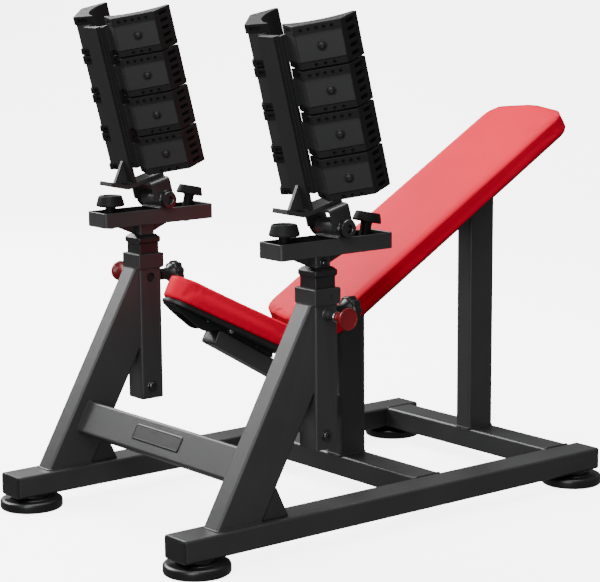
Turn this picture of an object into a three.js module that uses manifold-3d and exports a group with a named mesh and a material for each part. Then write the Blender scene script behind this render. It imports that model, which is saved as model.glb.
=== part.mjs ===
// Incline dumbbell press bench with two height-adjustable, tilting dumbbell cradles.
// Millimetres, +Z up. While modelling, x is 0 at the front of the rails and grows towards the head end,
// y is 0 on the bench's middle plane and z is 0 on the floor. The user faces -X, so -Y is the left side.

import * as THREE from 'three';
import { mergeVertices } from 'three/addons/utils/BufferGeometryUtils.js';
import Module from 'manifold-3d';

const wasm = await Module();
wasm.setup();

// Floor frame
const SIDE_Y = 322.6;            // rails, legs, masts and cradles are centred this far from the middle plane
const RAIL = { length: 1188.4, width: 76.2, low: 31.7, top: 82.5 };
const WALL = 3;
const FOOT = { radius: 70.5, thick: 22.8, inset: 51 };
const CROSS_X = { mid: 713.6, rear: 1124.6 };

// Legs and front crossmember
const LEG = { width: 50.8, depth: 101.6, foot_x: 84, angle: 60.7, top: 520 };
const FRONT_CROSS = { low: 108.5, high: 184.7, depth: 50.8 };

// Masts
const MAST = { x: 370, size: 60, low: 211, top: 553, collar: 70, collar_low: 521 };
const SLEEVE = { neck: 53.6, bore: 40.6, low: 515, ring: 61, ring_low: 578, top: 597 };
const LIFT_TUBE = { size: 39.6, low: 230, top: 622 };
const PIN = { z: 498, bore: 5.5, step: 40, count: 6 };
const CLAMP_Z = 496;

// Trays on the lifts
const TRAY = { x: [245, 545], width: 76.2, low: 622, top: 656, wall: 4.8 };
const PIVOT = { x: 410.5, z: 676.3, shaft: 8, bore: 8.5, barrel: 19 };
const FRONT_BUMPER_X = 283.5;
const REAR_BUMPER = { head: [504.3, 681.6], lean: 12.4 };

// Cradles, measured in their own frame: u towards the user, w across, t down the spine
const CRADLE = { x: MAST.x, z: 1125, lean: 14.4 };
const PAD = { rows: 4, pitch: 91.7, height: 88.7 };
const PAD_HEEL = [-109.5, 20];
const PAD_BACK = [-128, 79];
const PAD_SIDE = [-59, 148];
const PAD_TIP = [-3, 131];
const PAD_LIP = [-3, 120];
const PAD_HOLLOW = { u: 10.67, radius: 120.8 };
const SPINE = { back: -139, thick: 9.5, half: 25.4, top: 19 };
const COMB = { half: 38, inner: 28.5, edge: -124.5, low: 350 };
const TAB = { top: 19, height: 56, thick: 4, reach: 0.97, recess: 4 };
const PLATE = { thick: 10, half: 24.5, under: 395, bend: -154, rear: -52, nose: 49.5, rise: 12.7 };
const GUSSET = { thick: 9.6, top: 331, set: 22 };
const CLEVIS = { u: [-103.5, -52.5], inner: 38.5, outer: 44.5, round: 20 };

// Backrest and seat
const BACK = { x: 700, z: 507.3, angle: 30.3, half: 129.5, low: -178, high: 714, pad: 44.4, board: 4 };
const SEAT = { x: 234.5, z: 554, angle: -28, nose: 45.1, slope: 0.205, length: 330, pad: 50, board: 11 };
const POST = { across: 50.8, along: 76.2 };
const SEAT_TUBE = { across: 50.8, height: 38.1, front: [338.6, 424], angle: -30.4 };
const GAP = 0.3;                 // kept between pieces that touch on a slanted face

const STEEL = { color: 0x2b2d2e, roughness: 0.42, metalness: 0.55 };
const DARK_STEEL = { color: 0x232526, roughness: 0.5, metalness: 0.5 };
const CHROME = { color: 0xb9bcc0, roughness: 0.22, metalness: 1 };
const RUBBER = { color: 0x1b1c1d, roughness: 0.82, metalness: 0 };
const PLASTIC = { color: 0x242526, roughness: 0.6, metalness: 0 };
const RED_PLASTIC = { color: 0xb8141b, roughness: 0.35, metalness: 0 };
const VINYL = { color: 0xc4161c, roughness: 0.5, metalness: 0 };
const BOARD = { color: 0x1d1e1f, roughness: 0.75, metalness: 0 };

const X = [1, 0, 0];
const Y = [0, 1, 0];
const Z = [0, 0, 1];
const vec = (p) => new THREE.Vector3(...p);
const rad = THREE.MathUtils.degToRad;
const heading = (degrees) => [Math.cos(rad(degrees)), Math.sin(rad(degrees))];

// ---------------------------------------------------------------------------------------- solids

function basis(origin, across, up) {
  const a = vec(across).normalize();
  const u = vec(up).normalize();
  return new THREE.Matrix4().makeBasis(a, u, a.clone().cross(u)).setPosition(...origin);
}

function toSolid(geometry) {
  const plain = geometry.clone();
  plain.deleteAttribute('normal');
  plain.deleteAttribute('uv');
  const merged = mergeVertices(plain, 1e-4);
  const index = Array.from(merged.index.array);
  const triangles = [];
  for (let i = 0; i < index.length; i += 3) {
    const [a, b, c] = index.slice(i, i + 3);
    if (a !== b && b !== c && c !== a) triangles.push(a, b, c);
  }
  const build = (list) => new wasm.Manifold(new wasm.Mesh({
    numProp: 3,
    vertProperties: new Float32Array(merged.attributes.position.array),
    triVerts: new Uint32Array(list),
  }));
  const solid = build(triangles);
  return solid.volume() > 0 ? solid : build(triangles.reverse());
}

function toGeometry(solid) {
  const mesh = solid.getMesh();
  const geometry = new THREE.BufferGeometry();
  geometry.setAttribute('position', new THREE.BufferAttribute(new Float32Array(mesh.vertProperties), 3));
  geometry.setIndex(Array.from(mesh.triVerts));
  geometry.computeVertexNormals();
  return geometry;
}

const join = (...solids) => solids.reduce((whole, part) => whole.add(part));
const cut = (solid, ...tools) => tools.reduce((whole, tool) => whole.subtract(tool), solid);
const mirrored = (solid) => solid.mirror(Y);
const outline = (points) => new THREE.Shape(points.map(([a, b]) => new THREE.Vector2(a, b)));

function extrude(shape, depth, matrix, options = {}) {
  const settings = { depth, bevelEnabled: false, curveSegments: 3, ...options };
  return toSolid(new THREE.ExtrudeGeometry(shape, settings).applyMatrix4(matrix));
}

// Prism with an outline in x and z, between two values of y.
const prism = (points, low, high) => extrude(outline(points), high - low, basis([0, high, 0], X, Z));

function roundedRect(width, height, radius) {
  const shape = new THREE.Shape();
  const a = width / 2 - radius;
  const b = height / 2 - radius;
  const corners = [[a, b], [-a, b], [-a, -b], [a, -b]];
  corners.forEach(([x, y], i) => shape.absarc(x, y, radius, i * Math.PI / 2, (i + 1) * Math.PI / 2));
  return shape;
}

// Rectangular tube from one point to another; `across` is the direction its width is measured in.
function tube(width, height, start, end, across, radius = 5, wall = WALL) {
  const shape = roundedRect(width, height, radius);
  if (wall) shape.holes.push(roundedRect(width - 2 * wall, height - 2 * wall, Math.max(radius - wall, 1)));
  const run = vec(end).sub(vec(start));
  const up = run.clone().cross(vec(across));
  return extrude(shape, run.length(), basis(start, across, up.toArray()), { curveSegments: 1 });
}

// Turned piece from a profile of [radius, distance along the axis].
function turned(profile, origin, axis, segments = 32) {
  const points = profile.map(([r, h]) => new THREE.Vector2(r, h));
  const side = Math.abs(axis[2]) > 0.9 ? X : Z;
  const across = vec(axis).cross(vec(side)).normalize().toArray();
  return toSolid(new THREE.LatheGeometry(points, segments).applyMatrix4(basis(origin, across, axis)));
}

const rod = (radius, origin, axis, low, high, segments = 18) =>
  turned([[0, low], [radius, low], [radius, high], [0, high]], origin, axis, segments);

// A line of points moved sideways; positive is to the left of its direction.
function offset(points, distance) {
  const normals = points.slice(1).map((p, i) => {
    const [dx, dy] = [p[0] - points[i][0], p[1] - points[i][1]];
    const length = Math.hypot(dx, dy);
    return [-dy / length, dx / length];
  });
  return points.map(([a, b], i) => {
    const n = normals[Math.max(i - 1, 0)];
    const m = normals[Math.min(i, normals.length - 1)];
    const scale = distance / (1 + n[0] * m[0] + n[1] * m[1]);
    return [a + (n[0] + m[0]) * scale, b + (n[1] + m[1]) * scale];
  });
}

const strip = (points, left, right) => [...offset(points, left), ...offset(points, right).reverse()];

// ----------------------------------------------------------------------------------- floor frame

const railZ = (RAIL.low + RAIL.top) / 2;
const railHeight = RAIL.top - RAIL.low;
const railInner = SIDE_Y - RAIL.width / 2;

const rail = () => tube(RAIL.width, railHeight, [0, 0, railZ], [RAIL.length, 0, railZ], Y);

const crossmember = (x) =>
  tube(RAIL.width, railHeight, [x, -railInner, railZ], [x, railInner, railZ], X);

function foot(x) {
  const { radius, thick } = FOOT;
  const neck = RAIL.low;
  const profile = [[0, 0], [radius - 4, 0], [radius, 4], [radius, thick - 7], [radius - 2, thick - 2.5],
    [radius - 7, thick], [36, thick + 1.5], [31, neck - 3], [31, neck], [0, neck]];
  return turned(profile, [x, 0, 0], Z, 36);
}

const legRun = heading(LEG.angle);
const legBack = (LEG.depth / legRun[1]);

const legFront = (z) => LEG.foot_x + (z - RAIL.top) * legRun[0] / legRun[1];

function legOutline(inset) {
  const mastFace = MAST.x - MAST.size / 2;
  const side = inset / legRun[1];
  const reach = inset ? 40 : 0;
  const rear = (mastFace + reach - LEG.foot_x - legBack + side) * legRun[1] / legRun[0] + RAIL.top;
  const low = RAIL.top - reach;
  return [[legFront(low) + side, low], [legFront(low) + legBack - side, low], [mastFace + reach, rear],
    [mastFace + reach, LEG.top + reach], [legFront(LEG.top + reach) + side, LEG.top + reach]];
}

function leg() {
  const half = LEG.width / 2;
  const shell = prism(legOutline(0), -half, half);
  const hollow = prism(legOutline(WALL), -half + WALL, half - WALL);
  const rearX = (z) => legFront(z) + legBack - 1.5;
  const gusset = [[rearX(RAIL.top), RAIL.top], [271.5, RAIL.top], [241, 149], [rearX(149), 149]];
  return join(cut(shell, hollow), prism(gusset, -22, 22));
}

function frontCrossmember() {
  const along = (FRONT_CROSS.low + FRONT_CROSS.high) / 2;
  const deep = LEG.depth / 2;
  const x = LEG.foot_x + along * legRun[0] + deep * legRun[1];
  const z = RAIL.top + along * legRun[1] - deep * legRun[0];
  const half = SIDE_Y - LEG.width / 2;
  const width = FRONT_CROSS.high - FRONT_CROSS.low;
  return tube(width, FRONT_CROSS.depth, [x, -half, z], [x, half, z], [legRun[0], 0, legRun[1]]);
}

const boardUnder = (x) => {
  const [c, s] = heading(BACK.angle);
  return BACK.z - (BACK.pad + BACK.board) / c + (x - BACK.x) * s / c;
};

function backPost(x) {
  const half = POST.along / 2;
  const tall = tube(POST.along, POST.across, [x, 0, RAIL.top], [x, 0, boardUnder(x) + 60], X);
  const above = [[x - 60, boardUnder(x - 60) - GAP], [x + 60, boardUnder(x + 60) - GAP],
    [x + 60, boardUnder(x) + 120], [x - 60, boardUnder(x) + 120]];
  return cut(tall, prism(above, -half, half));
}

const tubeTop = (x) => SEAT_TUBE.front[1] + (x - SEAT_TUBE.front[0]) * Math.tan(rad(SEAT_TUBE.angle));

function seatTube() {
  const { front, height, across } = SEAT_TUBE;
  const [c, s] = heading(SEAT_TUBE.angle);
  const rear = CROSS_X.mid - POST.along / 2;
  const body = (start, inset, end) => {
    const drop = height - 2 * inset;
    const head = [front[0] + c * start + s * inset, front[1] + s * start - c * inset];
    const foot = [head[0] + s * drop, head[1] - c * drop];
    const slope = (p) => [end, p[1] + (end - p[0]) * s / c];
    return [head, slope(head), slope(foot), foot];
  };
  const half = across / 2;
  return cut(prism(body(0, 0, rear), -half, half), prism(body(4, WALL, rear + 20), -half + WALL, half - WALL));
}

// ----------------------------------------------------------------------------- seat and backrest

function roundedEnd(shape, end, inner, half, corner, bulge) {
  const edge = end - bulge * Math.sign(end - inner);
  const side = edge - corner * Math.sign(end - inner);
  const turn = Math.sign(end - inner);
  shape.lineTo(side, -half * turn);
  shape.quadraticCurveTo(edge, -half * turn, edge, -(half - corner) * turn);
  shape.quadraticCurveTo(end, -(half - corner) * turn / 2, end, 0);
  shape.quadraticCurveTo(end, (half - corner) * turn / 2, edge, (half - corner) * turn);
  shape.quadraticCurveTo(edge, half * turn, side, half * turn);
}

function backOutline(inset) {
  const shape = new THREE.Shape();
  const half = BACK.half - inset;
  shape.moveTo(0, -half);
  roundedEnd(shape, BACK.high - inset, 0, half, 60, 10);
  roundedEnd(shape, BACK.low + inset, 0, half, 60, 10);
  return shape;
}

function seatOutline(inset) {
  const shape = new THREE.Shape();
  const tangent = Math.atan(SEAT.slope);
  const radius = SEAT.nose - inset;
  const [a0, a1] = [Math.PI / 2 + tangent, 3 * Math.PI / 2 - tangent];
  const half = SEAT.nose / Math.cos(tangent) + SEAT.slope * (SEAT.length - 58 - SEAT.nose) - inset;
  shape.absarc(SEAT.nose, 0, radius, a0, a1);
  roundedEnd(shape, SEAT.length - inset, 0, half, 50, 8);
  return shape;
}

// A slab parallel to a cushion's top plane, from one depth below it to another.
function slab(shape, plane, top, bottom, bevel = 0) {
  const [c, s] = heading(plane.angle);
  const origin = [plane.x + s * bottom, 0, plane.z - c * bottom];
  const options = { curveSegments: 4 };
  if (!bevel) return extrude(shape, bottom - top, basis(origin, [c, 0, s], Y), options);
  origin[0] -= s * bevel;
  origin[2] += c * bevel;
  Object.assign(options, { bevelEnabled: true, bevelSize: bevel, bevelThickness: bevel });
  Object.assign(options, { bevelOffset: -bevel, bevelSegments: 2 });
  return extrude(shape, bottom - top - 2 * bevel, basis(origin, [c, 0, s], Y), options);
}

const backPad = () => slab(backOutline(0), BACK, 0, BACK.pad - GAP, 6);
const backBoard = () => slab(backOutline(5), BACK, BACK.pad, BACK.pad + BACK.board);
const seatPad = () => slab(seatOutline(0), SEAT, 0, SEAT.pad - GAP, 6);
const seatBoard = () => slab(seatOutline(3), SEAT, SEAT.pad, SEAT.pad + SEAT.board);

function seatUnder(x, depth) {
  const [c, s] = heading(SEAT.angle);
  const under = SEAT.pad + SEAT.board + depth;
  return SEAT.z - c * under + (x - SEAT.x - s * under) * s / c;
}

function seatBracket() {
  const top = (x) => [x, seatUnder(x, GAP)];
  const [tubeX] = SEAT_TUBE.front;
  const side = [top(217), top(481), [481, tubeTop(481) + GAP], [tubeX, tubeTop(tubeX) + GAP],
    [tubeX - 2, 423], [293, 423], [241, 467]];
  const hollow = [[231, seatUnder(231, 5)], [326, seatUnder(326, 5)], [326, 400], [231, 400]];
  return cut(prism(side, -24, 24), prism(hollow, -19, 19));
}

// ------------------------------------------------------------------------------ masts and lifts

const squareTube = (size, bore, low, high, radius = 5) => {
  const shape = roundedRect(size, size, radius);
  shape.holes.push(roundedRect(bore, bore, 2));
  return extrude(shape, high - low, basis([MAST.x, 0, low], X, Y), { curveSegments: 1 });
};

function upright() {
  const bore = MAST.size - 2 * WALL;
  const collar = squareTube(MAST.collar, bore, MAST.collar_low, MAST.top, 4);
  const face = MAST.size / 2;
  const housing = rod(12, [MAST.x, 0, PIN.z], Y, -63.4, -face + 1);
  const boss = rod(11, [MAST.x, 0, CLAMP_Z], X, face - 1, face + 12);
  return cut(
    join(squareTube(MAST.size, bore, MAST.low, MAST.top), collar, housing, boss),
    rod(PIN.bore, [MAST.x, 0, PIN.z], Y, -70, -15),
    rod(PIN.bore, [MAST.x, 0, CLAMP_Z], X, 15, 60),
    rod(10.8, [MAST.x, 0, PIN.z], Y, 15, 40),
  );
}

function guideSleeve() {
  const { neck, bore, low, ring, ring_low, top } = SLEEVE;
  const bevel = 3;
  const shape = roundedRect(ring, ring, 8);
  const options = { bevelEnabled: true, bevelSize: bevel, bevelThickness: bevel, bevelOffset: -bevel };
  Object.assign(options, { bevelSegments: 2, curveSegments: 2 });
  const swell = extrude(shape, top - ring_low - 2 * bevel, basis([MAST.x, 0, ring_low + bevel], X, Y), options);
  const through = extrude(roundedRect(bore, bore, 2), 100, basis([MAST.x, 0, low - 5], X, Y));
  return cut(join(squareTube(neck, bore, low, ring_low + 5), swell), through);
}

function liftTube() {
  const half = LIFT_TUBE.size / 2;
  const bore = LIFT_TUBE.size - 2 * WALL;
  const tall = squareTube(LIFT_TUBE.size, bore, LIFT_TUBE.low, LIFT_TUBE.top, 4);
  const wing = (side) => {
    const x = (d) => MAST.x + side * d;
    return prism([[x(70), LIFT_TUBE.top], [x(half - 1), LIFT_TUBE.top], [x(half - 1), 598], [x(70), 617]],
      -2.5, 2.5);
  };
  const holes = Array.from({ length: PIN.count }, (_, i) =>
    rod(PIN.bore, [MAST.x, 0, PIN.z - i * PIN.step], Y, -30, -10, 12));
  return cut(join(tall, wing(-1), wing(1)), ...holes);
}

function tray() {
  const [low, high] = TRAY.x;
  const centre = (low + high) / 2;
  const box = (inset, from, to) => {
    const shape = roundedRect(high - low - 2 * inset, TRAY.width - 2 * inset, 6 - inset / 2);
    return extrude(shape, to - from, basis([centre, 0, from], X, Y), { curveSegments: 1 });
  };
  return cut(box(0, TRAY.low, TRAY.top), box(TRAY.wall, TRAY.low + TRAY.wall, TRAY.top + 10));
}

function pivotBarrel() {
  const half = CLEVIS.inner - 0.5;
  const { x, z, barrel, bore } = PIVOT;
  const saddle = prism([[x - 13, TRAY.top], [x + 13, TRAY.top], [x + 9, z], [x - 9, z]], -half, half);
  return cut(join(rod(barrel, [x, 0, z], Y, -half, half, 28), saddle), rod(bore, [x, 0, z], Y, -60, 60, 20));
}

const trayFloor = TRAY.low + TRAY.wall;

function frontBumper() {
  const profile = [[0, trayFloor], [12.2, trayFloor], [12.2, 668], [31, 668], [32.3, 670], [27.2, 690.5],
    [25.8, 692], [23, 691], [20.5, 689], [0, 688]];
  return turned(profile, [FRONT_BUMPER_X, 0, 0], Z, 28);
}

function rearBumper() {
  const [a, b] = heading(90 - REAR_BUMPER.lean);
  const head = turned([[0, -4], [29.8, -4], [31, -2], [26.2, 15.5], [24.8, 17], [22, 16], [19.5, 14], [0, 13]],
    [REAR_BUMPER.head[0], 0, REAR_BUMPER.head[1]], [a, 0, b], 28);
  const shank = rod(11.8, [REAR_BUMPER.head[0], 0, REAR_BUMPER.head[1]], [a, 0, b], -62, 3);
  return join(head, shank.trimByPlane([0, 0, 1], trayFloor));
}

function pinKnob() {
  const profile = [[0, -102.4], [18, -101.5], [22.3, -98], [23.3, -94], [23.3, -84], [21, -80], [12, -77],
    [10, -74], [10, -64.4], [5, -64.4], [5, -28.2], [0, -28.2]];
  return turned(profile, [MAST.x, 0, PIN.z], Y, 20);
}

function clampKnob() {
  const grip = Array.from({ length: 48 }, (_, i) => {
    const angle = i * Math.PI / 24;
    const r = 29 - 1.3 * (1 + Math.cos(8 * angle));
    return [r * Math.cos(angle), r * Math.sin(angle)];
  });
  const disc = extrude(outline(grip), 21, basis([447, 0, CLAMP_Z], Y, Z));
  const stem = [[0, 398], [5, 398], [5, 413], [13, 413], [15, 430], [22, 448], [0, 448]];
  return join(disc, turned(stem, [0, 0, CLAMP_Z], X, 20));
}

// -------------------------------------------------------------------------------------- cradles

const [leanC, leanS] = heading(CRADLE.lean);
const cradleFrame = new THREE.Matrix4()
  .makeBasis(vec([leanC, 0, leanS]), vec(Y), vec([-leanS, 0, leanC]))
  .setPosition(CRADLE.x, 0, CRADLE.z);
const inCradle = (solid) => solid.transform(cradleFrame.elements);
const cradlePoint = (u, t) =>
  [CRADLE.x + u * leanC + t * leanS, CRADLE.z + u * leanS - t * leanC];

// Prism with an outline in u and w, from t = top down to t = bottom.
const layer = (shape, top, bottom) => extrude(shape, bottom - top, basis([0, 0, -bottom], X, Y));

const heelU = (w) =>
  PAD_HEEL[0] + (PAD_BACK[0] - PAD_HEEL[0]) * (w - PAD_HEEL[1]) / (PAD_BACK[1] - PAD_HEEL[1]);

// The bent tab that each pad is bolted to, set back from the pad's face. `gap` grows it into the
// pocket in the pad's back.
function tab(row, gap) {
  const out = gap ? TAB.recess + 4 : 0;
  const inner = COMB.inner - gap;
  const share = TAB.reach + gap / 98;
  const back = TAB.recess * Math.SQRT1_2;
  const set = ([u, w]) => [u + back, w - back];
  const end = set(PAD_BACK.map((v, i) => v + (PAD_SIDE[i] - v) * share));
  const path = [[heelU(inner), inner], set(PAD_BACK), end];
  const stub = [[COMB.edge - 1 - out, inner], [heelU(inner) + 0.5, inner],
    [heelU(COMB.half) + 0.5, COMB.half], [COMB.edge - 1 - out, COMB.half]];
  const top = row * PAD.pitch + TAB.top - gap;
  const bottom = row * PAD.pitch + TAB.top + TAB.height + gap;
  const bend = outline(strip(path, out, -TAB.thick - gap));
  return join(layer(bend, top, bottom), layer(outline(stub), top, bottom));
}

function pad(row) {
  const heel = PAD_HEEL[1] + 4;
  const shape = outline([[heelU(heel), heel], PAD_BACK, PAD_SIDE, PAD_TIP, PAD_LIP]);
  const angle = (p) => Math.atan2(p[1], p[0] - PAD_HOLLOW.u);
  shape.absarc(PAD_HOLLOW.u, 0, PAD_HOLLOW.radius, angle(PAD_LIP), angle([heelU(heel) + 3, heel]));
  const top = row * PAD.pitch;
  return inCradle(cut(layer(shape, top, top + PAD.height), tab(row, GAP)));
}

// A flat bar with a comb-shaped plate on its front, whose teeth are the bent tabs
function spine() {
  const { back, thick, half, top } = SPINE;
  const slab = (low, high, side, bottom) =>
    layer(outline([[low, -side], [high, -side], [high, side], [low, side]]), top, bottom);
  const bar = slab(back, back + thick, half, PLATE.under - PLATE.thick - GAP);
  const comb = slab(back + thick, COMB.edge, COMB.half, COMB.low);
  const rows = Array.from({ length: PAD.rows }, (_, row) => tab(row, 0));
  return inCradle(join(bar, comb, ...rows, ...rows.map(mirrored)));
}

const [pivotU, pivotT] = [
  (PIVOT.x - CRADLE.x) * leanC + (PIVOT.z - CRADLE.z) * leanS,
  (PIVOT.x - CRADLE.x) * leanS - (PIVOT.z - CRADLE.z) * leanC,
];

function clevis() {
  const { u, inner, outer, round } = CLEVIS;
  const top = PLATE.under - 0.6;
  const low = pivotT + round + 5;
  const wrap = (half, roof, radius) => {
    const shape = roundedRect(2 * half, 2 * (low - roof), radius);
    return extrude(shape, u[1] - u[0] + 20, basis([u[0] - 10, 0, -low], Y, Z));
  };
  const side = outline([[u[0], -top], [u[0], -(pivotT - 6)], [pivotU - round, -pivotT]]);
  side.absarc(pivotU, -pivotT, round, Math.PI, 2 * Math.PI);
  side.lineTo(u[1], -top);
  const ears = extrude(side, 120, basis([0, 60, 0], X, Z), { curveSegments: 6 });
  const shell = cut(wrap(outer, top, 10), wrap(inner, top + 6, 4)).intersect(ears);
  return cut(shell, rod(PIVOT.shaft + GAP, [pivotU, 0, -pivotT], Y, -60, 60));
}

function cradleBracket() {
  const bend = cradlePoint(PLATE.bend, PLATE.under);
  const [c, s] = heading(PLATE.rise);
  const nose = [bend[0] - PLATE.nose * c, bend[1] + PLATE.nose * s];
  const path = [nose, bend, cradlePoint(PLATE.rear, PLATE.under)];
  const plate = prism(strip(path, PLATE.thick, 0), -PLATE.half, PLATE.half);
  const [noseTop] = offset(path, PLATE.thick);
  const web = SPINE.back - GAP;
  const foot = [noseTop[0] + GUSSET.set * c, noseTop[1] - GUSSET.set * s];
  const gusset = [cradlePoint(web, GUSSET.top), cradlePoint(web, PLATE.under - 5),
    [foot[0], foot[1] - 5], [foot[0], foot[1] - 0.2]];
  return join(plate, prism(gusset, -GUSSET.thick / 2, GUSSET.thick / 2), inCradle(clevis()));
}

function pivotBolt() {
  const { shaft } = PIVOT;
  const ear = CLEVIS.outer + 0.4;
  const profile = [[0, -50], [8, -50], [8, -56], [17.5, -56], [20, -53.5], [20, -47], [23, -47], [23, -ear],
    [shaft, -ear], [shaft, ear], [23, ear], [23, 47], [20, 47], [20, 53.5], [17.5, 56], [0, 56]];
  return turned(profile, [PIVOT.x, 0, PIVOT.z], Y, 20);
}

// ------------------------------------------------------------------------------------- assembly

const bench = new THREE.Group();
bench.name = 'incline_press_bench';

function place(name, solid, finish) {
  const material = new THREE.MeshStandardMaterial({ name, ...finish });
  const mesh = new THREE.Mesh(toGeometry(solid), material);
  mesh.name = name;
  bench.add(mesh);
}

// The left piece is drawn on the middle plane with its outer side towards -Y.
function placePair(name, solid, finish) {
  place(`${name}_left`, solid.translate([0, -SIDE_Y, 0]), finish);
  place(`${name}_right`, mirrored(solid).translate([0, SIDE_Y, 0]), finish);
}

function placeFrame() {
  placePair('rail', rail(), STEEL);
  placePair('foot_front', foot(FOOT.inset), RUBBER);
  placePair('foot_rear', foot(RAIL.length - FOOT.inset), RUBBER);
  placePair('leg', leg(), STEEL);
  placePair('upright', upright(), STEEL);
  placePair('guide_sleeve', guideSleeve(), PLASTIC);
  place('mid_crossmember', crossmember(CROSS_X.mid), STEEL);
  place('rear_crossmember', crossmember(CROSS_X.rear), STEEL);
  place('front_crossmember', frontCrossmember(), STEEL);
  place('mid_post', backPost(CROSS_X.mid), STEEL);
  place('rear_post', backPost(CROSS_X.rear), STEEL);
  place('seat_tube', seatTube(), STEEL);
  place('seat_bracket', seatBracket(), DARK_STEEL);
  place('seat_board', seatBoard(), BOARD);
  place('seat_pad', seatPad(), VINYL);
  place('back_board', backBoard(), BOARD);
  place('back_pad', backPad(), VINYL);
}

function placeLifts() {
  placePair('lift_tube', liftTube(), STEEL);
  placePair('tray', tray(), STEEL);
  placePair('pivot_barrel', pivotBarrel(), STEEL);
  placePair('front_bumper', frontBumper(), RUBBER);
  placePair('rear_bumper', rearBumper(), RUBBER);
  placePair('pin_knob', pinKnob(), RED_PLASTIC);
  placePair('clamp_knob', clampKnob(), PLASTIC);
}

// Both cradles are the same part, so the right one is moved across rather than mirrored.
function placeCradles() {
  for (const [side, y] of [['left', -SIDE_Y], ['right', SIDE_Y]]) {
    const outer = side === 'left' ? mirrored : (solid) => solid;
    const inner = side === 'left' ? (solid) => solid : mirrored;
    place(`spine_${side}`, spine().translate([0, y, 0]), DARK_STEEL);
    place(`cradle_bracket_${side}`, cradleBracket().translate([0, y, 0]), STEEL);
    place(`pivot_bolt_${side}`, pivotBolt().translate([0, y, 0]), CHROME);
    for (let row = 0; row < PAD.rows; row += 1) {
      place(`pad_${side}_outer_${row + 1}`, outer(pad(row)).translate([0, y, 0]), RUBBER);
      place(`pad_${side}_inner_${row + 1}`, inner(pad(row)).translate([0, y, 0]), RUBBER);
    }
  }
}

placeFrame();
placeLifts();
placeCradles();

// The origin goes to the middle of the footprint, on the floor.
const extent = new THREE.Box3().setFromObject(bench);
const middle = extent.getCenter(new THREE.Vector3());
bench.children.forEach((mesh) => mesh.geometry.translate(-middle.x, -middle.y, -extent.min.z));

export default bench;
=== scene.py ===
"""Looks of the incline dumbbell press bench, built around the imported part.

Shapes are drawn in millimetres in the part's drawing frame (x from the front of the rails, y from the middle
plane, z from the floor) and then placed.
"""

import math
import random

import bmesh
import bpy
from mathutils import Matrix, Vector
from mathutils.bvhtree import BVHTree


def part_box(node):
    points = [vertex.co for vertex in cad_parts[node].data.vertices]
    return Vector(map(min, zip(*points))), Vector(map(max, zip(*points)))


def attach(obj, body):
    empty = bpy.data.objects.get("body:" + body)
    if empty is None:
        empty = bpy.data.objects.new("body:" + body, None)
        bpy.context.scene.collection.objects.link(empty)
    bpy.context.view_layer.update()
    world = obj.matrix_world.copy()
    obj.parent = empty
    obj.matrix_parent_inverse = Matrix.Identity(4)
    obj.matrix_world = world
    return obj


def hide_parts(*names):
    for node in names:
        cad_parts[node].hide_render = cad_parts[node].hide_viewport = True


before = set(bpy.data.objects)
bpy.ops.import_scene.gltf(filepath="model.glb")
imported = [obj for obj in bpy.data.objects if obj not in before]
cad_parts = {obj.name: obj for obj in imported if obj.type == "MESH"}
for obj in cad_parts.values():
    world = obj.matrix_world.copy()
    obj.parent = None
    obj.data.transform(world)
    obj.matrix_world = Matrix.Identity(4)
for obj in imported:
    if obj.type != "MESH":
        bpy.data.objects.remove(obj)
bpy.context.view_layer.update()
random.seed(7)

# ---------- dimensions
SIDE_Y = 322.6
ORIGIN = Vector((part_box("rail_left")[0].x, 0, 0))
RAIL_LENGTH, RAIL_LOW, RAIL_TOP, RAIL_WIDTH = 1188.4, 31.7, 82.5, 76.2
LEG_ANGLE, LEG_FOOT_X, LEG_DEPTH, LEG_TOP = 60.7, 84.0, 101.6, 520.0
TUBE_WIDE, TUBE_NARROW = 76.2, 50.8
TUBE_HALF = TUBE_NARROW / 2
MID_X, REAR_X = 713.6, 1124.6
MAST_X, MAST_FACE = 370.0, 30.0
PIN_Z, CLAMP_Z = 498.0, 496.0
CRADLE_Z, CRADLE_LEAN = 1125.0, 14.4
PAD_PITCH, PAD_HEIGHT, PAD_ROWS = 91.7, 88.7, 4
HEEL, BACK_CORNER, SIDE_CORNER = (-109.5, 20.0), (-128.0, 79.0), (-59.0, 148.0)
TIP, LIP = (-3.0, 131.0), (-3.0, 120.0)
BACK_PLANE = (700.0, 507.3, 30.3)
SEAT_PLANE = (234.5, 554.0, -28.0)
SWELL_CAP, STUFF_VOXEL, STUFF_PRESSURE, STUFF_FRAMES = 2.6, 0.0045, 4.0, 20
SEAT_TUBE_ANGLE, SEAT_TUBE_FRONT = -30.4, (338.6, 424.0)
PIVOT = Vector((410.5, 0, 676.3))
SIDES = (("left", -1), ("right", 1))
X, Y, Z = Vector((1, 0, 0)), Vector((0, 1, 0)), Vector((0, 0, 1))


def heading(degrees):
    return math.cos(math.radians(degrees)), math.sin(math.radians(degrees))


# ---------- materials
MATERIALS = {}


def shader(name, colour, rough, metal=0.0, **sockets):
    material = bpy.data.materials.new(name)
    material.use_nodes = True
    bsdf = material.node_tree.nodes["Principled BSDF"]
    bsdf.inputs["Base Color"].default_value = (*colour, 1)
    bsdf.inputs["Roughness"].default_value = rough
    bsdf.inputs["Metallic"].default_value = metal
    for socket, value in sockets.items():
        bsdf.inputs[socket.replace("_", " ")].default_value = value
    return material, material.node_tree, bsdf


def texture(tree, kind, scale, **values):
    node = tree.nodes.new(kind)
    coordinates = tree.nodes.new("ShaderNodeTexCoord")
    tree.links.new(coordinates.outputs["Object"], node.inputs["Vector"])
    node.inputs["Scale"].default_value = scale
    for socket, value in values.items():
        node.inputs[socket].default_value = value
    return node


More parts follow.
